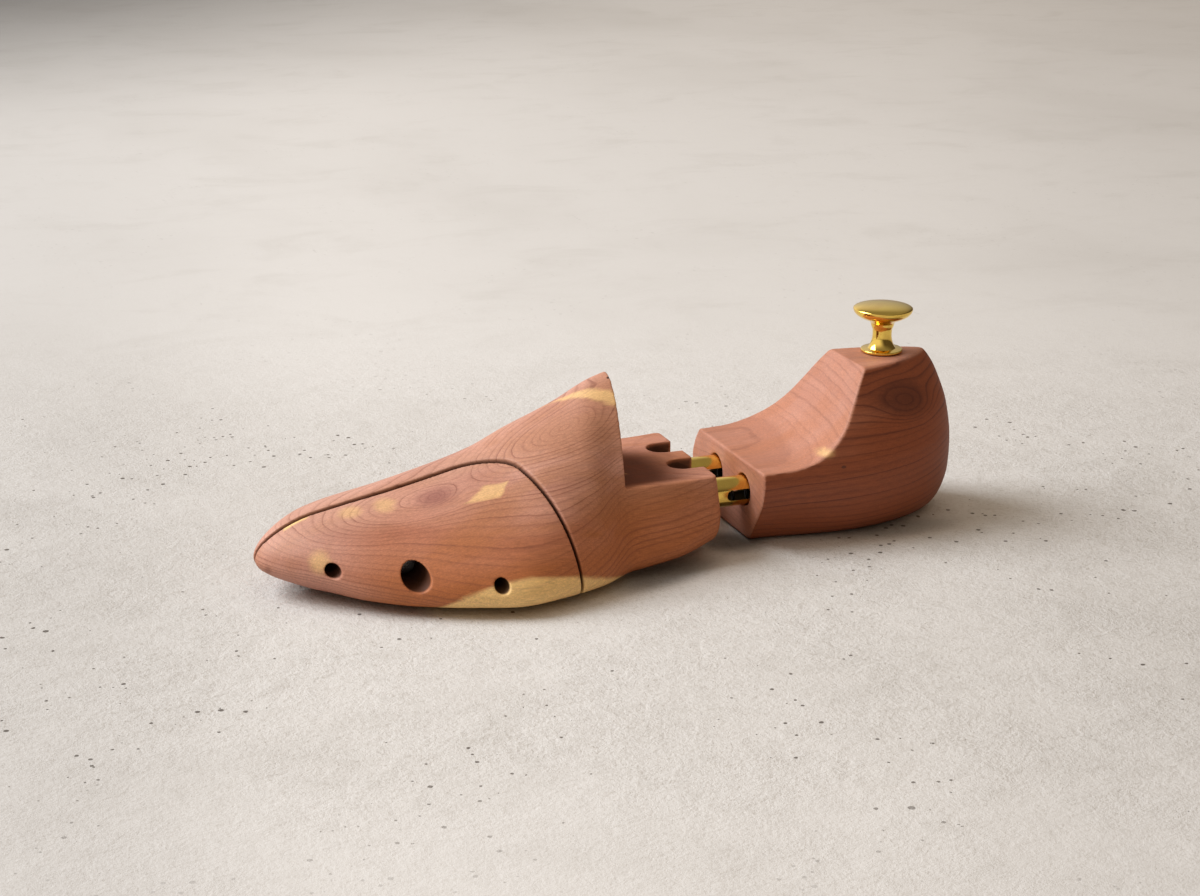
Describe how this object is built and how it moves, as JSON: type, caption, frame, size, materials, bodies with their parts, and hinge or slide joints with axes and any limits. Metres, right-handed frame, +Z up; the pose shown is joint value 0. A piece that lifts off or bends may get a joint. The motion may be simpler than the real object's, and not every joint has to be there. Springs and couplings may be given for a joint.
{
  "type": "shoe tree",
  "caption": "Cedar shoe tree for a left shoe: sprung toe section, carved heel block with a brass knob, and sprung brass tubes between them.",
  "frame": {"origin": "on the axis of the knob, at the flat underside of the heel block that the tree stands on", "axes": "+X towards the back of the heel, the toe at -X; +Y towards the inner side of the foot; +Z up"},
  "size_m": [0.2789, 0.098, 0.0827],
  "materials": {
    "cedar": "sanded and bare, with growth rings and pale sapwood",
    "cedar_heel": "sanded and bare, darker heartwood",
    "polished_brass": "polished",
    "zinc_steel": "plain bright",
    "spring_steel": "dark, as drawn"
  },
  "bodies": {
    "forepart": {"forepart_block": "cedar", "tube_outer": "polished_brass", "tube_inner": "polished_brass", "toe_screw_insert": "polished_brass", "spring_seat_outer": "polished_brass", "spring_seat_inner": "polished_brass", "toe_guide_pin_front": "zinc_steel", "toe_guide_pin_rear": "zinc_steel", "toe_stop_screw": "zinc_steel", "toe_screw_washer": "zinc_steel", "tube_anchor_pin_outer": "zinc_steel", "tube_anchor_pin_inner": "zinc_steel", "toe_spring": "spring_steel", "tube_spring_outer": "spring_steel", "tube_spring_inner": "spring_steel"},
    "toe_section": {"toe_side_block": "cedar"},
    "heel": {"heel_block": "cedar_heel", "heel_stop_pin": "zinc_steel", "heel_pin_plug": "cedar_heel", "heel_knob": "polished_brass", "knob_stud": "zinc_steel", "spring_follower_outer": "polished_brass", "spring_follower_inner": "polished_brass"}
  },
  "joints": [
    {"name": "toe_squeeze", "type": "slide", "parent": "forepart", "child": "toe_section", "axis": [0, 1, 0], "range_m": [0, 0.0019], "stiffness_N_per_m": 2500, "springref_m": -0.004, "deforming": ["toe_spring"]},
    {"name": "heel_compress", "type": "slide", "parent": "forepart", "child": "heel", "axis": [-1, 0, 0], "range_m": [0, 0.0165], "stiffness_N_per_m": 1200, "springref_m": -0.01, "deforming": ["tube_spring_outer", "tube_spring_inner"]}
  ]
}
